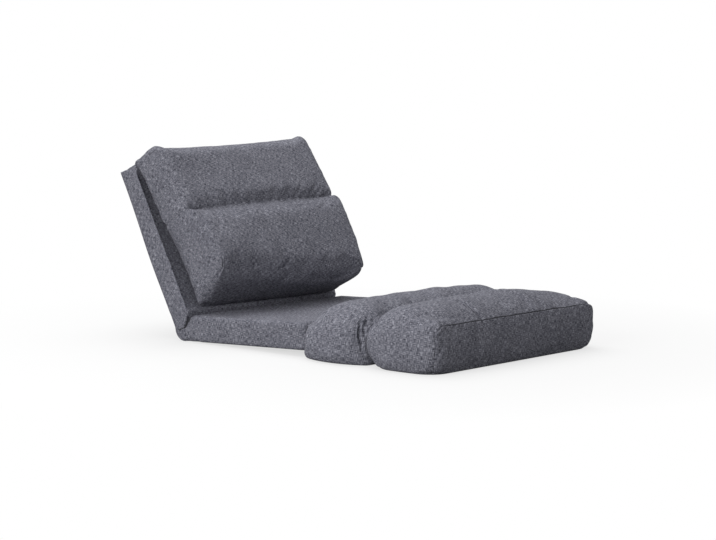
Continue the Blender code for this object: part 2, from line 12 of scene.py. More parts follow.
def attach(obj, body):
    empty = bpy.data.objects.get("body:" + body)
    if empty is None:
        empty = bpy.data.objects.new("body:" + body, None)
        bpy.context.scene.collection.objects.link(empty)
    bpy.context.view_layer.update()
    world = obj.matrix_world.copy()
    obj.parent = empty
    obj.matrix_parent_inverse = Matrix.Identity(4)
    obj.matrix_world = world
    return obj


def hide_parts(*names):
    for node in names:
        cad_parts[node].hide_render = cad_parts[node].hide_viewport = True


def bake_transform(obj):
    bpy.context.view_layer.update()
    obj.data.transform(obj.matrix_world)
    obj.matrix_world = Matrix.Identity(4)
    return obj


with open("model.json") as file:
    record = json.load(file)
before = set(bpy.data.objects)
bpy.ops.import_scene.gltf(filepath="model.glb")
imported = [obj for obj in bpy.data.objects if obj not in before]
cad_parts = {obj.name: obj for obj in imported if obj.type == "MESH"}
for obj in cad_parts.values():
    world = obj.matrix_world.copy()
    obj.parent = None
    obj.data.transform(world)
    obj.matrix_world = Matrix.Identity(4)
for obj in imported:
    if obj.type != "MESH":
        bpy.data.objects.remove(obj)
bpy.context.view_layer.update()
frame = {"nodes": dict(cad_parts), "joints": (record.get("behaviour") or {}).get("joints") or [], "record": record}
JOINT = {joint["name"]: Vector(joint["pos_m"]) for joint in frame["joints"]}
HINGE = JOINT["back_recline"]
KNEE = JOINT["knee_fold"]
FOOT = JOINT["foot_fold"]
SCENE = bpy.context.scene

# Sizes are in metres and angles in degrees. The near side of the photo is the one with negative y.

# Seat and back: foam slabs that meet at a slit, over a round heel about the hinge axis
WIDTH = 0.600
SLAB = 0.072
SLAB_EDGE = 0.010
SLAB_FLAT = 0.290
SEAT_LENGTH = 0.442
SEAT_TILT = 2.1
SEAT_END = 0.011
SEAT_CORNER = 0.016
SEAT_SAG = 0.006
BACK_LENGTH = 0.473
BACK_ANGLE = 116.0 + SEAT_TILT
BACK_END = 0.005
BACK_CORNER = 0.006
BACK_BULGE = 0.007
BACK_LIP = 0.006
HOLLOW = 0.014
HOLLOW_HALF = 0.2985
HOLLOW_RUN = (0.030, 0.462)
HEEL = 0.0330
SLIT = (0.003, 0.033)
SLIT_EDGE = 0.011
SLIT_CORNER = 0.003
SLIT_RADIUS = 0.034
SLIT_LINED = (46.0, 74.2)
SLIT_HALF = 0.290

# Hinge cloth, round the outer corner between seat and back
BEND = math.radians(180.0 - BACK_ANGLE + SEAT_TILT)
GUSSET_REACH = 0.052
GUSSET_THICK = 0.0022
GUSSET_INSET = 0.002
GUSSET_GAP = 0.0004

# Back cushion: lengths run up the slab from the cushion's lower edge, depths out from the slab
CUSHION_START = 0.038
CUSHION_LENGTH = 0.454
CUSHION_DEEP = 0.156
CUSHION_HALF = 0.3015
CUSHION_TAPER = 0.0275
CHANNEL_AT = 0.245
LUMBAR_DEEP = 0.148
LUMBAR_CROWN = 0.005
LUMBAR_ROLL = (0.036, 0.046)
HEAD_DEEP = 0.132
HEAD_TAPER = 0.030
HEAD_ROLL = (0.020, 0.030)
CROSS_CROWN = 0.003
TURN_UNDER = 0.058
SIDE_TUCK = 0.030
# The lattice's cuts as shares of its length, and the lines they lie on, counted from the channel
CHANNEL_CUT = 0.52
CUSHION_CUTS = (0.0, 0.14, 0.41, 0.48, CHANNEL_CUT, 0.56, 0.63, 0.90, 1.0)
CUSHION_LINES = (-CHANNEL_AT, -0.205, -0.036, -0.009, 0.0, 0.009, 0.034, 0.187, 0.209)
# Start and end of each crease as length up the cushion and place across it, and its depth
CREASE_WIDTH = 0.0075
CUSHION_CREASES = (
    ((0.020, -0.138), (0.062, -0.136), 0.0065),
    ((0.014, -0.058), (0.056, -0.012), 0.0065),
    ((0.030, 0.10), (0.105, 0.075), 0.0035),
    ((0.30, -0.20), (0.26, -0.10), 0.0025),
    ((0.185, 0.16), (0.225, 0.245), 0.0028),
    ((0.15, -0.245), (0.215, -0.20), 0.0025),
)

# Knee and foot sections: half sizes of the boxes that they start from, heights and bulges
KNEE_LENGTH = 0.228
KNEE_BOX = (KNEE_LENGTH / 2, 0.300, 0.055)
KNEE_ENDS = (0.092, 0.014)
KNEE_CROWN = 0.150
KNEE_BELLY = 0.043
FOOT_LENGTH = 0.228
FOOT_BOX = (FOOT_LENGTH / 2, 0.330, 0.0605)
FOOT_ENDS = (0.106, 0.015)
FOOT_CROWN = 0.164
FOOT_FAR_DROP = 0.017
FOOT_BELLY = 0.013
FOOT_OVERLAP = 0.015
# Start and end of each fold, as distance behind the foot joint and height, and its depth
PINCH_WIDTH = 0.0024
KNEE_PINCHES = (
    ((0.044, 0.106), (0.034, 0.062), 0.0050),
    ((0.038, 0.110), (0.022, 0.030), 0.0080),
    ((0.040, 0.120), (0.025, 0.052), 0.0075),
    ((0.032, 0.122), (0.020, 0.070), 0.0065),
)
DIMPLE = ((FOOT.x + FOOT_LENGTH + 0.020, -0.142), (FOOT.x + 0.150, -0.150))
DIMPLE_WIDTH = 0.0065
DIMPLE_DEEP = 0.0100

# Swelling of the stuffed covers
SWELL_PRESSURE = 4.0
SWELL_SLACK = 0.035
SWELL_CAP = 0.007
SWELL_FRAMES = 20

# Panels of a pad's lattice, by number, and the share from which a point counts as on its edge
UNDERSIDE = 1
SIDE_PANELS = (2, 3)
ON_EDGE = 0.999
TINY = 1e-6


def ease(t):
    """A smooth step from 0 to 1."""
    t = np.clip(t, 0.0, 1.0)
    return t * t * (3.0 - 2.0 * t)


def bump(t, middle, half):
    """A smooth hill of height 1 round the middle."""
    return np.cos(np.clip((t - middle) / half, -1.0, 1.0) * math.pi / 2) ** 2


def crowd(t, share=0.6):
    """Draw the cuts of a lattice towards its edges."""
    return (1.0 - share) * t + share * np.sin(t * math.pi / 2)


def roll(t, reach):
    """A rounded drop: 1 at the seam, 0 where the roll's crown is reached."""
    s = np.clip(1.0 - t / reach, 0.0, 1.0)
    return 1.0 - np.sqrt(1.0 - s * s)


def waves(t, seed, length):
    """Uneven ripples along t, the same on every run."""
    rng = np.random.default_rng(seed)
    total = np.zeros_like(t)
    for stretch in (0.7, 1.0, 1.45, 2.3):
        total += np.sin(2 * math.pi * t / (length * stretch) + rng.uniform(0, 2 * math.pi))
    return total / 2.6


def crease(p, q, start, end, width):
    """Share of a pinched fold that runs from start to end over a surface with the lengths p and q."""
    line = np.subtract(end, start)
    size = math.hypot(*line)
    along = ((p - start[0]) * line[0] + (q - start[1]) * line[1]) / size ** 2
    off = ((q - start[1]) * line[0] - (p - start[0]) * line[1]) / size
    return np.exp(-(off / width) ** 2) * np.sin(math.pi * np.clip(along, 0.0, 1.0)) ** 0.7


def fillet(p, q, half_p, half_q, radius):
    """Round the corners of the rectangle that p and q run over, both counted from its middle."""
    inner_p = np.clip(p, radius - half_p, half_p - radius)
    inner_q = np.clip(q, radius - half_q, half_q - radius)
    out_p, out_q = p - inner_p, q - inner_q
    size = np.maximum(np.hypot(out_p, out_q), 1e-9)
    keep = np.maximum(np.abs(out_p), np.abs(out_q)) / size
    return inner_p + out_p * keep, inner_q + out_q * keep


def turn(x, z, degrees):
    """Turn a slab's own length and height up from the floor about the hinge axis."""
    s, c = math.sin(math.radians(degrees)), math.cos(math.radians(degrees))
    return HINGE.x + x * c - z * s, HINGE.z + x * s + z * c


def side_seam(b, c):
    """The back cushion's seams, along both sides of its front."""
    return np.hypot(1.0 - np.abs(b), 1.0 - c) < TINY


def front_seam(a, c):
    """The foot section's seam along the upper edge of its front."""
    return (a > ON_EDGE) & (c > ON_EDGE)


def corner_seam(a, b):
    """The foot section's upright seams at both ends of its front."""
    return (a > ON_EDGE) & (np.abs(b) > ON_EDGE)


def lattice(counts):
    """Surface points of a box as shares from -1 to 1, and the grid of point numbers of each side."""
    nx, ny, nz = counts
    index = {}

    def number(place):
        return index.setdefault(place, len(index))

    def grid(n, m, place):
        return np.array([[number(place(p, q)) for q in range(m + 1)] for p in range(n + 1)])

    sides = [
        grid(nx, ny, lambda p, q: (p, q, nz)),
        grid(ny, nx, lambda p, q: (q, p, 0)),
        grid(nx, nz, lambda p, q: (p, 0, q)),
        grid(nz, nx, lambda p, q: (q, ny, p)),
        grid(ny, nz, lambda p, q: (nx, p, q)),
        grid(nz, ny, lambda p, q: (0, q, p)),
    ]
    points = np.array(list(index), float) / np.array(counts) * 2.0 - 1.0
    return points, sides


def cloth_lengths(points, sides):
    """For each side, how far along and across the cloth each point lies, in metres."""
    maps = []
    for grid in sides:
        place = points[grid]
        along = np.zeros(grid.shape)
        across = np.zeros(grid.shape)
        along[1:] = np.cumsum(np.linalg.norm(np.diff(place, axis=0), axis=2), axis=0)
        across[:, 1:] = np.cumsum(np.linalg.norm(np.diff(place, axis=1), axis=2), axis=1)
        maps.append(np.stack((along - along[-1] / 2, across - across[:, -1:] / 2), axis=2))
    return maps


def read_points(mesh):
    """The mesh's points as an array."""
    flat = np.empty(len(mesh.vertices) * 3, np.float32)
    mesh.vertices.foreach_get("co", flat)
    return flat.reshape(-1, 3).astype(float)


def read_vectors(vectors):
    """Normals, or another attribute of vectors, as an array."""
    flat = np.empty(len(vectors) * 3, np.float32)
    vectors.foreach_get("vector", flat)
    return flat.reshape(-1, 3).astype(float)


def write_points(mesh, points):
    """Move the mesh's points to new places."""
    mesh.vertices.foreach_set("co", points.astype(np.float32).ravel())
    mesh.update()


def add_mesh(name, points, faces):
    """A smooth-shaded mesh object, linked to the scene."""
    mesh = bpy.data.meshes.new(name)
    mesh.from_pydata(points, [], faces)
    mesh.shade_smooth()
    added = bpy.data.objects.new(name, mesh)
    SCENE.collection.objects.link(added)
    return added


def soft_mesh(name, counts, shape, lean=0.0):
    """A closed pad: a box lattice bent by a shape formula, with cloth lengths as its texture map.

    The weave of the side panels lies flat in the pad's side view, turned by lean. Also returned are each
    point's share of the lattice and each face's panel.
    """
    panel_step = 0.37
    shares, sides = lattice(counts)
    points = np.column_stack(shape(*shares.T))
    lengths = cloth_lengths(points, sides)
    quads, where, panel = [], [], []
    low, high = slice(None, -1), slice(1, None)
    corners = [(low, low), (high, low), (high, high), (low, high)]
    c, s = math.cos(math.radians(lean)), math.sin(math.radians(lean))
    for number, (grid, flat) in enumerate(zip(sides, lengths)):
        if number in SIDE_PANELS:
            flat = points[grid][:, :, ::2] @ np.array(((c, -s), (s, c)))
        quads.append(np.stack([grid[k] for k in corners], axis=2).reshape(-1, 4))
        where.append(np.stack([flat[k] for k in corners], axis=2).reshape(-1, 4, 2) + panel_step * number)
        panel += [number] * len(quads[-1])
    pad = add_mesh(name, points.tolist(), np.concatenate(quads).tolist())
    layer = pad.data.uv_layers.new(name="cloth")
    layer.data.foreach_set("uv", np.concatenate(where).astype(np.float32).ravel())
    return pad, shares, np.array(panel)


def settle(pad, pinned):
    """Let the cover swell as cloth over its stuffing, held at its seams, no point moving past the cap."""
    mesh = pad.data
    start = read_points(mesh)
    pad.vertex_groups.new(name="held").add(np.nonzero(pinned)[0].tolist(), 1.0, "REPLACE")
    cloth = pad.modifiers.new("cloth", "CLOTH")
    cloth.settings.quality = 5
    cloth.settings.mass = 0.3
    cloth.settings.tension_stiffness = 15.0
    cloth.settings.compression_stiffness = 8.0
    cloth.settings.shear_stiffness = 5.0
    cloth.settings.bending_stiffness = 0.6
    cloth.settings.vertex_group_mass = "held"
    cloth.settings.use_pressure = True
    cloth.settings.uniform_pressure_force = SWELL_PRESSURE
    cloth.settings.shrink_min = -SWELL_SLACK
    cloth.settings.effector_weights.gravity = 0.0
    cloth.collision_settings.use_collision = False
    cloth.collision_settings.use_self_collision = False
    cloth.point_cache.frame_start = 1
    cloth.point_cache.frame_end = SWELL_FRAMES
    for step in range(1, SWELL_FRAMES + 1):
        SCENE.frame_set(step)
    swollen = pad.evaluated_get(bpy.context.evaluated_depsgraph_get())
    move = read_points(swollen.data) - start
    pad.modifiers.remove(cloth)
    pad.vertex_groups.clear()
    SCENE.frame_set(1)
    far = np.linalg.norm(move, axis=1, keepdims=True)
    move = move * (SWELL_CAP * np.tanh(far / SWELL_CAP) / np.maximum(far, 1e-9))
    write_points(mesh, start + move)


def press(pad, depth):
    """Move each point along its own normal."""
    mesh = pad.data
    write_points(mesh, read_points(mesh) + read_vectors(mesh.vertex_normals) * depth[:, None])


def refine(pad, shares, panel):
    """One level of subdivision, applied. Each new point gets its own share, each new face its panel."""
    kept = pad.data.attributes.new("share", "FLOAT_VECTOR", "POINT")
    kept.data.foreach_set("vector", shares.astype(np.float32).ravel())
    pad.data.polygons.foreach_set("material_index", panel.astype(np.int32))
    step = pad.modifiers.new("refine", "SUBSURF")
    step.levels = step.render_levels = 1
    finer = bpy.data.meshes.new_from_object(pad.evaluated_get(bpy.context.evaluated_depsgraph_get()))
    pad.modifiers.remove(step)
    pad.data = finer
    finer.shade_smooth()
    shares = read_vectors(finer.attributes["share"].data)
    finer.attributes.remove(finer.attributes["share"])
    panel = np.empty(len(finer.polygons), np.int32)
    finer.polygons.foreach_get("material_index", panel)
    return shares, panel


def line_underside(pad, panel):
    """Give the flat part of the underside the second material, the lining."""
    facing = read_vectors(pad.data.polygon_normals)
    down = facing[panel == UNDERSIDE].mean(axis=0)
    lined = (panel == UNDERSIDE) & (facing @ down > 0.985 * np.linalg.norm(down))
    pad.data.polygons.foreach_set("material_index", lined.astype(np.int32))


# Shape formulas: shares of the lattice along, across and up become places in the frame


def slab_form(a, b, c, length, end, corner):
    """A foam slab: rounded edges, a slanted wall at the slit and a round heel about the hinge axis."""
    half = (length / 2, WIDTH / 2, SLAB / 2)
    x, y, z = crowd(a) * half[0], crowd(b) * half[1], c * half[2]
    y, z = fillet(y, z, half[1], half[2], SLAB_EDGE)
    x, z = fillet(x, z, half[0], half[2], np.where(x > 0, end, SLIT_EDGE))
    x, y = fillet(x, y, half[0], half[1], np.where(x > 0, corner, SLIT_CORNER))
    up = np.clip(z / half[2], 0.0, 1.0)
    down = np.clip(-z / half[2], 0.0, 1.0)
    slant = SLIT[0] + (SLIT[1] - SLIT[0]) * up
    wall = np.where(c >= -TINY, slant, -HEEL * np.sqrt(1.0 - down ** 2))
    share = (x + half[0]) / length
    x = wall + share * (length - wall)
    thinner = (1.0 - HEEL / half[2]) * ease((0.065 - x) / 0.04)
    z = np.where(z < 0.0, z * (1.0 - thinner), z)
    return x, y, z


def seat_shape(a, b, c):
    """The seat slab: sat in a little in its middle, and drawn in at the slit."""
    x, y, z = slab_form(a, b, c, SEAT_LENGTH, SEAT_END, SEAT_CORNER)
    top = np.clip(z / (SLAB / 2), 0.0, 1.0)
    across = 1.0 - (2 * y / WIDTH) ** 2
    z = z - SEAT_SAG * across * np.sin(math.pi * np.clip(x / SEAT_LENGTH, 0.0, 1.0)) * top
    y = y * (1.0 - 0.006 * ease((0.020 - x) / 0.015))
    px, pz = turn(x, z, SEAT_TILT)
    return px, y, pz


def back_shape(a, b, c):
    """The back slab: hollow in front, behind the cushion, and fuller at the rear towards its top."""
    x, y, z = slab_form(a, b, c, BACK_LENGTH, BACK_END, BACK_CORNER)
    front, rear = np.clip(z / (SLAB / 2), 0.0, 1.0), np.clip(-z / (SLAB / 2), 0.0, 1.0)
    hollow = HOLLOW * front * ease((HOLLOW_HALF - np.abs(y)) / 0.008)
    z = z - hollow * ease((x - HOLLOW_RUN[0]) / 0.03) * ease((HOLLOW_RUN[1] - x) / 0.03)
    z = z + BACK_BULGE * rear * ease((x - 0.20) / 0.25)
    x = x + BACK_LIP * rear * ease((x - 0.42) / 0.05)
    px, pz = turn(x, -z, BACK_ANGLE)
    return px, -y, pz


def cushion_depth(u, b):
    """How far the cushion's front stands out from the slab: a fat chamber, a channel, a flatter chamber."""
    below = np.clip(CHANNEL_AT - u, 0.0, None)
    above = np.clip(u - CHANNEL_AT, 0.0, None)
    across = 1.0 - np.abs(b) ** 3
    # The channel runs out towards the sides, and the near side is flatter round it
    sunk = 1.0 - 0.60 * ease((np.abs(b) - 0.90) / 0.10)
    step = 0.016 * ease((u - CHANNEL_AT + 0.02) / 0.04) * (1.0 - sunk)
    near = 0.014 * ease((b - 0.2) / 0.8) * bump(u, CHANNEL_AT + 0.03, 0.17)
    lumbar = LUMBAR_DEEP + LUMBAR_CROWN * bump(u, 0.10, 0.14)
    lumbar = lumbar - LUMBAR_ROLL[0] * sunk * roll(below, LUMBAR_ROLL[1]) + CROSS_CROWN * across
    head = HEAD_DEEP - HEAD_TAPER * above / (CUSHION_LENGTH - CHANNEL_AT)
    head = head - HEAD_ROLL[0] * sunk * roll(above, HEAD_ROLL[1]) + CROSS_CROWN * across
    return np.where(u < CHANNEL_AT, lumbar - step, head - step * 0.2) - near


def cushion_shape(a, b, c):
    """The channelled cushion, narrower and turned under towards the seat, most of all on the near side."""
    u = np.interp((a + 1.0) / 2, CUSHION_CUTS, CHANNEL_AT + np.array(CUSHION_LINES))
    half = (CUSHION_LENGTH / 2, CUSHION_DEEP / 2)
    lower = u < CHANNEL_AT
    # Rounded ends, front and rear
    under = 0.034 + 0.014 * ease((b + 0.2) / 1.1)
    over = 0.034 - 0.008 * ease((b - 0.4) / 0.6)
    radius = np.where(c > 0.0, np.where(lower, under, over), np.where(lower, 0.010, 0.014))
    p, q = fillet(u - half[0], c * half[1], half[0], half[1], radius)
    reach = np.maximum(np.abs(p / half[0]), np.abs(q / half[1]))
    # Rounded sides, drawn in downwards and at the channel
    drop = 1.0 - u / CUSHION_LENGTH
    wide = CUSHION_HALF - CUSHION_TAPER * drop - 0.003 * ease((CHANNEL_AT + 0.01 - u) / 0.02)
    wide = wide - 0.002 * bump(u, CHANNEL_AT, 0.016)
    edge_round = 0.003 + np.where(lower, 0.007, 0.014) * ease((c + 0.7) / 0.9)
    y, edge = fillet(crowd(b, 0.5) * wide, reach * half[1], wide, half[1], edge_round)
    shrink = np.where(reach > TINY, edge / half[1] / np.maximum(reach, TINY), 1.0)
    u = p * shrink + half[0]
    v = (q * shrink + half[1]) / CUSHION_DEEP * cushion_depth(u, y / wide)
    # The upper edge sags and leans back, the lower front turns under, the sides tuck in at the slab
    top = ease((u - CUSHION_LENGTH + 0.08) / 0.08)
    u = u - 0.007 * top * (1.0 - (y / wide) ** 2) - 0.004 * top * y / wide
    u = u - 0.016 * top * np.clip(1.0 - v / 0.060, 0.0, 1.0)
    turned = TURN_UNDER * ease((y / wide + 0.6) / 1.6) * np.clip(1.0 - u / 0.16, 0.0, 1.0)
    u = u + turned * np.clip(v / 0.15, 0.0, 1.0)
    tuck = SIDE_TUCK * ease((CUSHION_LENGTH - 0.002 - u) / 0.06) * np.clip((0.021 - v) / 0.018, 0.0, 1.0)
    y = y * (1.0 - tuck / wide) - 0.0085 * drop - 0.0035
    v = v * (1.0 + HOLLOW / CUSHION_DEEP) - HOLLOW + 0.0005
    px, pz = turn(u + CUSHION_START, -(v + SLAB / 2), BACK_ANGLE)
    return px, -y, pz


def knee_shape(a, b, c):
    """The knee section: a stuffed roll, highest near the foot section and hollowed where that overlaps it."""
    half = KNEE_BOX
    side_roll, end_roll, floor_edge = 0.054, 0.030, 0.014
    front_corner, rear_corner = 0.018 + 0.018 * ease(c), 0.022
    ahead = a + 0.15 * (1.0 - a * a)
    x, y, z = crowd(ahead, 0.3) * half[0], crowd(b, 0.5) * half[1], c * half[2]
    y, z = fillet(y, z, half[1], half[2], np.where(c > 0, side_roll, floor_edge))
    x, z = fillet(x, z, half[0], half[2], np.where(c > 0, end_roll, floor_edge))
    x, y = fillet(x, y, half[0], half[1], np.where(x > 0, front_corner, rear_corner))
    along, wide, up = x / KNEE_LENGTH + 0.5, y / half[1], z / half[2] / 2 + 0.5
    swell = np.sin(math.pi * along) ** 0.6
    ends = KNEE_ENDS[0] + KNEE_ENDS[1] * along
    crown = np.sin(math.pi * np.clip(along, 0.0, 1.0) ** 1.25) ** 0.6
    top = ends + (KNEE_CROWN - ends) * crown * (1.0 - 0.16 * wide ** 2)
    belly = np.sin(math.pi * np.clip(0.45 + 0.52 * up, 0, 1))
    y = y + wide * KNEE_BELLY * swell * belly
    x = along * KNEE_LENGTH - FOOT_OVERLAP * ease(along * 2.2 - 1.2) * np.sin(math.pi * up)
    return KNEE.x + x, y, top * up


def foot_shape(a, b, c):
    """The foot section: a stuffed box with a flat front, a round rear and a lower far half."""
    half = FOOT_BOX
    x, y, z = crowd(a, 0.5) * half[0], crowd(b, 0.5) * half[1], crowd(c, 0.35) * half[2]
    front = ease(x / half[0] * 2.0 - 0.6)
    low = np.clip(-c, 0.0, 1.0) ** 1.5
    side_roll, side_floor_edge = 0.056 - 0.022 * front, 0.016
    seam_edge, front_floor_edge, rear_roll = 0.005, 0.014, 0.046
    front_corner, rear_corner = 0.012 + 0.048 * low, 0.046 + 0.034 * low
    y, z = fillet(y, z, half[1], half[2], np.where(c > 0, side_roll, side_floor_edge))
    front_edge = np.where(c > 0, seam_edge, front_floor_edge)
    x, z = fillet(x, z, half[0], half[2], np.where(x > 0, front_edge, rear_roll))
    x, y = fillet(x, y, half[0], half[1], np.where(x > 0, front_corner, rear_corner))
    along, wide, up = x / FOOT_LENGTH + 0.5, y / half[1], z / half[2] / 2 + 0.5
    swell = np.sin(math.pi * along) ** 0.75
    ends = FOOT_ENDS[0] + FOOT_ENDS[1] * along
    far_drop = FOOT_FAR_DROP * ease((y - 0.08) / 0.20)
    top = ends + ((FOOT_CROWN - ends) * (1.0 - 0.12 * wide ** 2) - far_drop) * swell
    belly = np.sin(math.pi * np.clip(0.38 + 0.58 * up, 0, 1))
    y = y + wide * FOOT_BELLY * swell * belly
    bulge = 0.004 * ease(along * 2 - 1) * np.sin(math.pi * up) * (1.0 - wide ** 4)
    x = along * FOOT_LENGTH + 0.003 + bulge
    x = x - (FOOT_OVERLAP - 0.001) * ease(1.0 - along * 2.2) * np.sin(math.pi * up)
    return FOOT.x + x, y, top * up


def gusset_shape(a, b, c):
    """The cloth round the outer corner: flat under the seat, round the heel, flat on the back's rear."""
    bow = HEEL + GUSSET_GAP
    s = a * (GUSSET_REACH + bow * BEND / 2)
    lift = (c + 1.0) / 2 * GUSSET_THICK * (1.0 - 0.85 * ease((np.abs(a) - 0.45) / 0.55))
    past = np.clip(np.abs(s) - bow * BEND / 2, 0.0, None)
    angle = np.clip(s / bow, -BEND / 2, BEND / 2)
    y = -b * (WIDTH / 2 - GUSSET_INSET)
    # It follows the slabs' rounded side edges
    beyond = np.clip(np.abs(y) - SLAB_FLAT, 0.0, SLAB_EDGE)
    over_edge = SLAB_EDGE - np.sqrt(SLAB_EDGE ** 2 - beyond ** 2)
    out = bow + lift + 0.0025 * ease((past - 0.010) / 0.045) - 0.0008 * ease((past - 0.020) / 0.030)
    out = out - over_edge * ease(past / 0.020)
    facing = math.radians(SEAT_TILT) - math.pi / 2 - BEND / 2 - angle
    side = np.where(s > 0.0, 1.0, -1.0)
    px = HINGE.x + out * np.cos(facing) + side * past * np.sin(facing)
    pz = HINGE.z + out * np.sin(facing) - side * past * np.cos(facing)
    return px, y, pz


def slit_shape(a, b, c):
    """The elastic cloth inside the fold: an arc about the hinge axis from wall to wall of the slit."""
    facing = np.radians(SLIT_LINED[0] + (SLIT_LINED[1] - SLIT_LINED[0]) * (a + 1.0) / 2)
    out = SLIT_RADIUS - 0.0015 * np.cos(a * math.pi / 2) ** 2 + (c - 1.0) * 0.0005
    return HINGE.x + out * np.cos(facing), b * SLIT_HALF, HINGE.z + out * np.sin(facing)


# Folds: how far each point of a shaped pad moves along its normal


def seat_folds(a, b, c, points):
    """Slack ripples on top."""
    x, y = points[:, 0], points[:, 1]
    return 0.0009 * waves(x * 0.4 + y, seed=41, length=0.16) * (c > 0.5) * ease((x - HINGE.x - 0.05) / 0.06)


def back_folds(a, b, c, points):
    """Slack ripples in front and at the rear."""
    y, z = points[:, 1], points[:, 2]
    return 0.0008 * waves(z * 0.6 + y, seed=43, length=0.19) * (np.abs(c) > 0.5) * ease((z - 0.08) / 0.06)


def cushion_folds(a, b, c, points):
    """Puckers along the channel, soft creases, ripples in the fat chamber and raised side seams."""
    u = (points[:, 2] - HINGE.z) * math.sin(math.radians(BACK_ANGLE))
    u = u + (points[:, 0] - HINGE.x) * math.cos(math.radians(BACK_ANGLE)) - CUSHION_START
    y = points[:, 1]
    front = (c > ON_EDGE) * 1.0
    off = np.abs(u - CHANNEL_AT)
    depth = 0.0014 * waves(y, seed=3, length=0.030) * np.exp(-off / 0.016) * front
    depth = depth + 0.0016 * waves(y + 0.3 * u, seed=5, length=0.085) * front * bump(u, 0.11, 0.11)
    for start, end, deep in CUSHION_CREASES:
        depth = depth - deep * crease(u, y, start, end, CREASE_WIDTH) * front
    return depth + 0.0016 * side_seam(b, c)


def knee_folds(a, b, c, points):
    """Pinched folds at the sides of the foot seam, and gathers and a few slack ripples on top."""
    x, y, z = points.T
    gap = FOOT.x - x
    side = ease((np.abs(y) - 0.235) / 0.06)
    depth = np.zeros_like(gap)
    for start, end, deep in KNEE_PINCHES:
        depth = depth - deep * crease(gap, z, start, end, PINCH_WIDTH) * side
    gathers = 0.0030 * waves(y, seed=21, length=0.038) * ease((0.050 - gap) / 0.05)
    depth = depth + gathers * (1.0 - side) * (c > 0)
    slack = waves(y + 0.8 * x, seed=31, length=0.12) * (c > -0.5)
    return depth + 0.0016 * slack * np.sin(math.pi * np.clip(a * 0.5 + 0.5, 0, 1))


def foot_folds(a, b, c, points):
    """The open front seam, the closed corner seams, the dimple and gathers at the rear."""
    x, y, z = points.T
    rear = ease((0.055 - (x - FOOT.x)) / 0.06)
    depth = 0.0028 * waves(y, seed=23, length=0.036) * rear * (c > 0) * (a < 0.6)
    depth = depth + 0.0015 * waves(y - 0.7 * x, seed=33, length=0.11) * (c > -0.5) * (1.0 - rear)
    dimple = crease(x, y, *DIMPLE, DIMPLE_WIDTH)
    depth = depth - DIMPLE_DEEP * dimple * ease((z - 0.100) / 0.015)
    seam, corner = front_seam(a, c), corner_seam(a, b)
    return depth - 0.0032 * (seam & ~corner) - 0.0018 * (corner & ~seam)


# Each pad's shape, lattice counts, body and folds
PADS = {
    "seat_pad": (seat_shape, (60, 76, 14), "seat", seat_folds),
    "back_pad": (back_shape, (60, 76, 14), "back", back_folds),
    "back_cushion": (cushion_shape, (84, 88, 24), "back", cushion_folds),
    "knee_pad": (knee_shape, (44, 96, 22), "knee", knee_folds),
    "foot_pad": (foot_shape, (44, 96, 24), "foot", foot_folds),
    "hinge_cloth": (gusset_shape, (48, 64, 2), None, None),
}
REPLACED = {
    "seat_pad": ("seat_cover", "seat_underside", "seat_foam_top", "seat_foam_base"),
    "back_pad": ("back_cover", "back_rear_panel", "back_foam_front", "back_foam_rear"),
    "back_cushion": ("back_cushion_cover", "back_cushion_panel", "lumbar_filling", "head_filling"),
    "knee_pad": ("knee_cover", "knee_base", "knee_filling"),
    "foot_pad": ("foot_cover", "foot_base", "foot_filling"),
    "hinge_cloth": ("hinge_gusset",),
}
LINED = ("seat_pad", "back_cushion", "knee_pad", "foot_pad")
# Where each stuffed cover is held while it swells: its seams, its ends and what it rests on
HELD = {
    "back_cushion": lambda a, b, c: (c < -0.9) | side_seam(b, c)
    | ((np.abs(a - (2 * CHANNEL_CUT - 1)) < 0.013) & (c > 0.9)),
    "knee_pad": lambda a, b, c: (c < -0.8) | (np.abs(a) > 0.96),
    "foot_pad": lambda a, b, c: (c < -0.95) | (a < -0.96) | front_seam(a, c) | corner_seam(a, b),
}

cloths = {}
for name, (shape, counts, body, folds) in PADS.items():
    pad, shares, panel = soft_mesh(name, counts, shape, BACK_ANGLE if body == "back" else SEAT_TILT)
    if name in HELD:
        settle(pad, HELD[name](*shares.T))
        shares, panel = refine(pad, shares, panel)
    if folds:
        press(pad, folds(*shares.T, read_points(pad.data)))
    if name in LINED:
        line_underside(pad, panel)
    if name == "foot_pad":
        foot_edge = read_points(pad.data)[front_seam(shares[:, 0], shares[:, 2])]
        foot_edge = foot_edge[np.argsort(foot_edge[:, 1])]
    cloths[name] = pad
    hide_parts(*REPLACED[name])
    if body:
        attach(pad, body)

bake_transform(cloths["hinge_cloth"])


def heights(pad, x, y):
    """How high the pad's upper surface stands at each place."""
    tree = BVHTree.FromObject(pad, bpy.context.evaluated_depsgraph_get())
    hits = [tree.ray_cast(Vector((p, q, 1.0)), Vector((0.0, 0.0, -1.0)))[0] for p, q in zip(x, y)]
    return np.array([hit.z for hit in hits])


def valley_cloth(name, joint, bodies, half_width, reach, dip, ripple):
    """The cloth strip between two sections, its ends set just under both surfaces and its middle sunk into the
    valley between them.
    """
    behind, ahead = (cloths[f"{body}_pad"] for body in bodies)
    sewn_under = 0.0015

    def shape(a, b, c):
        y = b * half_width
        low = heights(behind, np.full(y.shape, joint.x - reach), y) - sewn_under
        high = heights(ahead, np.full(y.shape, joint.x + reach), y) - sewn_under
        middle = np.cos(a * math.pi / 2) ** 2
        level = low + (high - low) * (a + 1.0) / 2
        level = level - (dip - ripple * waves(y, seed=11, length=0.034)) * middle
        return joint.x + a * reach, y, level + (c - 1.0) * 0.001

    strip = soft_mesh(name, (12, 120, 2), shape)[0]
    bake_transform(strip)
    cloths[name] = strip


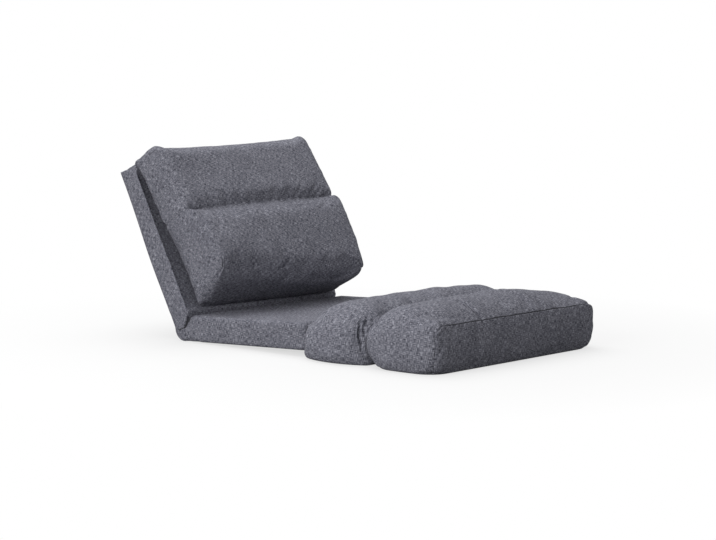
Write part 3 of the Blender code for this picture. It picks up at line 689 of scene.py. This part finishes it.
valley_cloth("knee_seam_cloth", KNEE, ("seat", "knee"),
             half_width=0.286, reach=0.016, dip=0.006, ripple=0.0008)
valley_cloth("foot_seam_cloth", FOOT, ("knee", "foot"),
             half_width=0.276, reach=0.020, dip=0.012, ripple=0.0022)

slit_cloth = soft_mesh("slit_cloth", (16, 64, 2), slit_shape)[0]
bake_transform(slit_cloth)
cloths["slit_cloth"] = slit_cloth

# Dark thread: the foot seam's stitches, thick and close so that they also paint the seam's shade, and a line of
# painted shade along the closed slit on both sides of the seat
STITCH, STITCH_GAP, STITCH_RADIUS = 0.026, 0.0016, 0.0015
STITCHED_HALF = 0.272
STITCH_LIFT = (0.0008, 0.0, 0.0012)
SLIT_LINE_RADIUS = 0.0012
SLIT_LINE_AT = (-0.3016, 0.3016)
SLIT_LINE = (
    (-0.021, -0.0040), (-0.014, -0.0038), (-0.006, -0.0022), (0.002, 0.0010),
    (0.008, 0.0060), (0.017, 0.0158), (0.025, 0.0255), (0.0315, 0.0335),
)
# A direction that no thread runs in
ASKEW = (0.30, 0.35, 0.89)


def thread(name, runs, radius, body, sides=6):
    """Dark thread, for sewing and for lines of painted shade: one short capped tube for each run of points."""
    points, faces = [], []
    for run in runs:
        path = np.gradient(run, axis=0)
        path /= np.linalg.norm(path, axis=1, keepdims=True)
        across = np.cross(path, ASKEW)
        across /= np.linalg.norm(across, axis=1, keepdims=True)
        over = np.cross(path, across)
        first = len(points)
        for place, p, q in zip(run, across, over):
            for k in range(sides):
                angle = 2 * math.pi * k / sides
                points.append((place + radius * (p * math.cos(angle) + q * math.sin(angle))).tolist())
        for ring in range(len(run) - 1):
            low, high = first + ring * sides, first + (ring + 1) * sides
            for k in range(sides):
                after = (k + 1) % sides
                faces.append((low + k, low + after, high + after, high + k))
        faces.append(tuple(first + k for k in reversed(range(sides))))
        faces.append(tuple(first + (len(run) - 1) * sides + k for k in range(sides)))
    spun = add_mesh(name, points, faces)
    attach(spun, body)
    return spun


def stitches(path, length, gap):
    """Cut a path into stitches, each of five points."""
    run = np.concatenate(([0.0], np.cumsum(np.linalg.norm(np.diff(path, axis=0), axis=1))))
    starts = np.arange(0.0, run[-1] - length, length + gap)
    return [np.column_stack([np.interp(np.linspace(s, s + length, 5), run, path[:, k]) for k in range(3)])
            for s in starts]


seam = foot_edge[np.abs(foot_edge[:, 1]) < STITCHED_HALF] + np.array(STITCH_LIFT)
slit = np.column_stack(turn(*np.array(SLIT_LINE).T, SEAT_TILT))
slit_runs = [np.column_stack((slit[:, 0], np.full(len(slit), y), slit[:, 1])) for y in SLIT_LINE_AT]
threads = [
    # The foot seam's stitches, thick and nearly joined: real stitches that also paint the seam groove's shade
    thread("foot_stitch_and_shade_thread", stitches(seam, STITCH, STITCH_GAP), STITCH_RADIUS, "foot"),
    # Painted shade: a dark line on both sides of the seat where the closed slit lies in shade
    thread("slit_painted_shade_line", slit_runs, SLIT_LINE_RADIUS, "seat"),
]


class Nodes:
    """Short-hand for building a material's node tree."""

    def __init__(self, name):
        self.material = bpy.data.materials.new(name)
        self.material.use_nodes = True
        self.tree = self.material.node_tree
        self.shader = self.tree.nodes["Principled BSDF"]
        self.place = self.tree.nodes.new("ShaderNodeTexCoord").outputs

    def add(self, kind, **values):
        node = self.tree.nodes.new(kind)
        for key, value in values.items():
            setattr(node, key, value)
        return node

    def link(self, start, end):
        self.tree.links.new(start, end)

    def set(self, **values):
        """Set inputs of the shader, by name with underscores for blanks."""
        for key, value in values.items():
            self.shader.inputs[key.replace("_", " ")].default_value = value

    def math(self, operation, a, b):
        node = self.add("ShaderNodeMath", operation=operation)
        for socket, value in zip(node.inputs, (a, b)):
            if isinstance(value, (int, float)):
                socket.default_value = value
            else:
                self.link(value, socket)
        return node.outputs[0]

    def noise(self, vector, scale, detail, size=(1.0, 1.0, 1.0)):
        mapping = self.add("ShaderNodeMapping")
        mapping.inputs["Scale"].default_value = size
        self.link(vector, mapping.inputs["Vector"])
        node = self.add("ShaderNodeTexNoise")
        node.inputs["Scale"].default_value = scale
        node.inputs["Detail"].default_value = detail
        self.link(mapping.outputs[0], node.inputs["Vector"])
        return node.outputs["Fac"]

    def ramp(self, value, stops):
        node = self.add("ShaderNodeValToRGB")
        ends = node.color_ramp.elements
        ends[0].position, ends[0].color = stops[0][0], (*stops[0][1], 1.0)
        ends[1].position, ends[1].color = stops[-1][0], (*stops[-1][1], 1.0)
        for place, colour in stops[1:-1]:
            ends.new(place).color = (*colour, 1.0)
        self.link(value, node.inputs[0])
        return node.outputs[0]

    def relief(self, height, strength, distance):
        node = self.add("ShaderNodeBump")
        node.inputs["Strength"].default_value = strength
        node.inputs["Distance"].default_value = distance
        self.link(height, node.inputs["Height"])
        self.link(node.outputs[0], self.shader.inputs["Normal"])


def linen_material():
    """Heathered linen weave: uneven light and dark yarns both ways, with a fine bump."""
    across_yarn, along_yarn = 860.0, 100.0
    n = Nodes("heathered_linen")
    place = n.place["UV"]
    warp = n.noise(place, 1.0, 0.5, (across_yarn, along_yarn, 1.0))
    weft = n.noise(place, 1.0, 0.5, (along_yarn, across_yarn, 1.0))
    cloud = n.noise(place, 16.0, 3.0)
    both = n.math("ADD", n.math("MULTIPLY", warp, 0.5), n.math("MULTIPLY", weft, 0.5))
    mixed = n.math("ADD", both, n.math("MULTIPLY", n.math("SUBTRACT", cloud, 0.5), 0.10))
    stops = [(0.33, (0.030, 0.031, 0.041)), (0.50, (0.120, 0.121, 0.146)), (0.67, (0.320, 0.321, 0.364))]
    n.link(n.ramp(mixed, stops), n.shader.inputs["Base Color"])
    n.relief(both, 0.35, 0.0010)
    n.set(Roughness=0.95, Specular_IOR_Level=0.12)
    return n.material


def lining_material():
    """Non-woven black lining with its pressed dots."""
    n = Nodes("nonwoven_lining")
    dots = n.add("ShaderNodeTexVoronoi")
    dots.inputs["Scale"].default_value = 420.0
    dots.inputs["Randomness"].default_value = 0.15
    n.link(n.place["UV"], dots.inputs["Vector"])
    fibre = n.noise(n.place["UV"], 900.0, 2.0)
    mixed = n.math("ADD", n.math("MULTIPLY", dots.outputs["Distance"], 0.5), n.math("MULTIPLY", fibre, 0.5))
    stops = [(0.25, (0.010, 0.010, 0.012)), (0.75, (0.034, 0.034, 0.037))]
    n.link(n.ramp(mixed, stops), n.shader.inputs["Base Color"])
    n.relief(mixed, 0.4, 0.0006)
    n.set(Roughness=0.9)
    return n.material


def yarn_material(name, dark, light, roughness):
    """Twisted thread or webbing: fine strands."""
    n = Nodes(name)
    strands = n.noise(n.place["Object"], 1.0, 2.0, (300.0, 900.0, 1400.0))
    n.link(n.ramp(strands, [(0.35, dark), (0.65, light)]), n.shader.inputs["Base Color"])
    n.relief(strands, 0.4, 0.0004)
    n.set(Roughness=roughness)
    return n.material


def metal_material(name, dark, light, metallic, rough, size):
    """Painted, plated or spring steel: fine grain in colour, roughness and surface."""
    n = Nodes(name)
    grain = n.noise(n.place["Object"], 1.0, 4.0, size)
    n.link(n.ramp(grain, [(0.30, dark), (0.70, light)]), n.shader.inputs["Base Color"])
    n.link(n.ramp(grain, [(0.30, (rough[0],) * 3), (0.70, (rough[1],) * 3)]), n.shader.inputs["Roughness"])
    n.relief(grain, 0.15, 0.0002)
    n.set(Metallic=metallic)
    return n.material


linen = linen_material()
lining = lining_material()
for pad in cloths.values():
    pad.data.materials.append(linen)
    pad.data.materials.append(lining)
# Dark yarn for the foot seam's stitches and for the lines of painted shade
thread_and_shade_yarn = yarn_material("thread_and_shade_line", (0.012, 0.012, 0.016), (0.035, 0.035, 0.042), 0.85)
for spun in threads:
    spun.data.materials.append(thread_and_shade_yarn)

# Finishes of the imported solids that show, by material slot
FINISH = {
    "painted_tube": metal_material("painted_tube_grain", (0.048, 0.050, 0.053), (0.072, 0.074, 0.078), 0.2,
                                   (0.42, 0.55), (180.0, 180.0, 180.0)),
    "zinc_plate": metal_material("zinc_plate_grain", (0.50, 0.51, 0.52), (0.62, 0.63, 0.64), 1.0,
                                 (0.28, 0.42), (60.0, 900.0, 60.0)),
    "spring_steel": metal_material("spring_steel_grain", (0.25, 0.25, 0.27), (0.34, 0.34, 0.36), 1.0,
                                   (0.24, 0.36), (900.0, 80.0, 900.0)),
    "elastic_webbing": yarn_material("webbing_weave", (0.50, 0.48, 0.43), (0.70, 0.68, 0.62), 0.9),
}
for part in frame["record"]["subparts"]:
    if part["material_slot"] in FINISH:
        mesh = frame["nodes"][part["node"]].data
        mesh.materials.clear()
        mesh.materials.append(FINISH[part["material_slot"]])


def seen_ray(tree):
    """1 for rays that show a surface: from the camera, off a gloss or through glass."""
    path = tree.nodes.new("ShaderNodeLightPath")
    total = path.outputs["Is Camera Ray"]
    for other in ("Is Glossy Ray", "Is Transmission Ray"):
        larger = tree.nodes.new("ShaderNodeMath")
        larger.operation = "MAXIMUM"
        tree.links.new(total, larger.inputs[0])
        tree.links.new(path.outputs[other], larger.inputs[1])
        total = larger.outputs[0]
    return total


# Floor: it takes the shadow close to the object and fades to white further out
FLOOR_HALF = 30
UNSEEN_GREY, SEEN_EXTRA = 0.28, 0.42
FADE = {"From Min": 0.5, "From Max": 1.3, "To Min": 0.65, "To Max": 1.0}
corners = [(x * FLOOR_HALF, y * FLOOR_HALF, 0) for x, y in ((-1, -1), (1, -1), (1, 1), (-1, 1))]
floor = add_mesh("floor", corners, [(0, 1, 2, 3)])
pale = Nodes("pale_floor")
seen = seen_ray(pale.tree)
grey = pale.math("ADD", pale.math("MULTIPLY", seen, SEEN_EXTRA), UNSEEN_GREY)
pale.link(grey, pale.shader.inputs["Base Color"])
pale.set(Roughness=1.0, Specular_IOR_Level=0.0)
away = pale.add("ShaderNodeVectorMath", operation="LENGTH")
pale.link(pale.place["Object"], away.inputs[0])
spread = pale.add("ShaderNodeMapRange")
for socket, value in FADE.items():
    spread.inputs[socket].default_value = value
pale.link(away.outputs["Value"], spread.inputs["Value"])
white = pale.add("ShaderNodeEmission")
mixed = pale.add("ShaderNodeMixShader")
pale.link(pale.math("MULTIPLY", seen, spread.outputs[0]), mixed.inputs[0])
pale.link(pale.shader.outputs[0], mixed.inputs[1])
pale.link(white.outputs[0], mixed.inputs[2])
pale.link(mixed.outputs[0], pale.tree.nodes["Material Output"].inputs["Surface"])
floor.data.materials.append(pale.material)

# World: white where it is seen, dimmer as a light
DOME_LIGHT = 0.55
world = bpy.data.worlds.new("studio")
world.use_nodes = True
tree = world.node_tree
strength = tree.nodes.new("ShaderNodeMapRange")
strength.inputs["To Min"].default_value = DOME_LIGHT
tree.links.new(seen_ray(tree), strength.inputs["Value"])
tree.links.new(strength.outputs[0], tree.nodes["Background"].inputs["Strength"])
tree.nodes["Background"].inputs["Color"].default_value = (1.0, 1.0, 1.0, 1.0)
SCENE.world = world


def lamp(name, toward, distance, size, watts):
    """A soft area lamp that stands in a direction from the object and shines back at it."""
    data = bpy.data.lights.new(name, "AREA")
    data.shape = "RECTANGLE"
    data.size, data.size_y = size
    data.energy = watts
    stand = bpy.data.objects.new(name, data)
    stand.location = Vector(toward).normalized() * distance + Vector((0.0, 0.0, 0.2))
    stand.rotation_euler = Vector(toward).to_track_quat("Z", "Y").to_euler()
    stand.visible_camera = False
    SCENE.collection.objects.link(stand)


lamp("side", (0.14, -0.95, 0.24), distance=3.0, size=(2.0, 1.4), watts=58.0)
lamp("top", (-0.36, 0.14, 0.92), distance=2.6, size=(2.6, 2.6), watts=64.0)

# Camera, fitted to the photo
camera = bpy.data.objects.new("camera", bpy.data.cameras.new("camera"))
camera.data.sensor_width = 36.0
camera.data.lens = 114.36
camera.data.clip_end = 100.0
camera.location = (HINGE.x + 4.370, -4.546, 0.862)
target = Vector((HINGE.x + 0.3609, 0.0, 0.1948))
camera.rotation_euler = (target - camera.location).to_track_quat("-Z", "Y").to_euler()
SCENE.collection.objects.link(camera)
SCENE.camera = camera
SCENE.view_settings.view_transform = "Standard"
